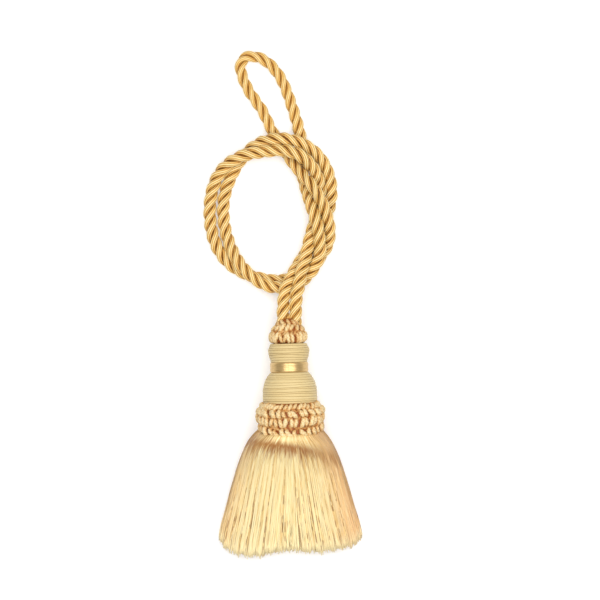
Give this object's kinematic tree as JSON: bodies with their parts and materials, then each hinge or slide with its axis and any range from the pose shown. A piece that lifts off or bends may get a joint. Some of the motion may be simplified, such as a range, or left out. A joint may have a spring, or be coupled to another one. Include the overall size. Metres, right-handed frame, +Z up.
{
  "type": "curtain tieback tassel",
  "caption": "Gold yarn curtain tieback laid flat: a twisted rope in a loose overhand knot with a hanging loop, and a tassel with knotted collars, a wound dome and a full skirt.",
  "frame": {"origin": "on the table, under the middle of the tassel's own box without the rope", "axes": "+X across the tassel, +Y up the tassel from the skirt's hem towards the rope, +Z up from the table"},
  "size_m": [0.1257, 0.4036, 0.0563],
  "materials": {
    "rope_yarn": "silky three-strand rope",
    "knotted_yarn": "rows of knotted yarn",
    "wound_yarn": "thread wound in close turns",
    "satin_yarn": "smooth satin winding",
    "skirt_yarn": "silky cut yarn"
  },
  "bodies": {
    "root": {"cord": "rope_yarn", "neck_collar": "knotted_yarn", "bulb": "wound_yarn", "satin_band": "satin_yarn", "dome": "wound_yarn", "wide_collar": "knotted_yarn", "skirt": "skirt_yarn"}
  },
  "joints": []
}
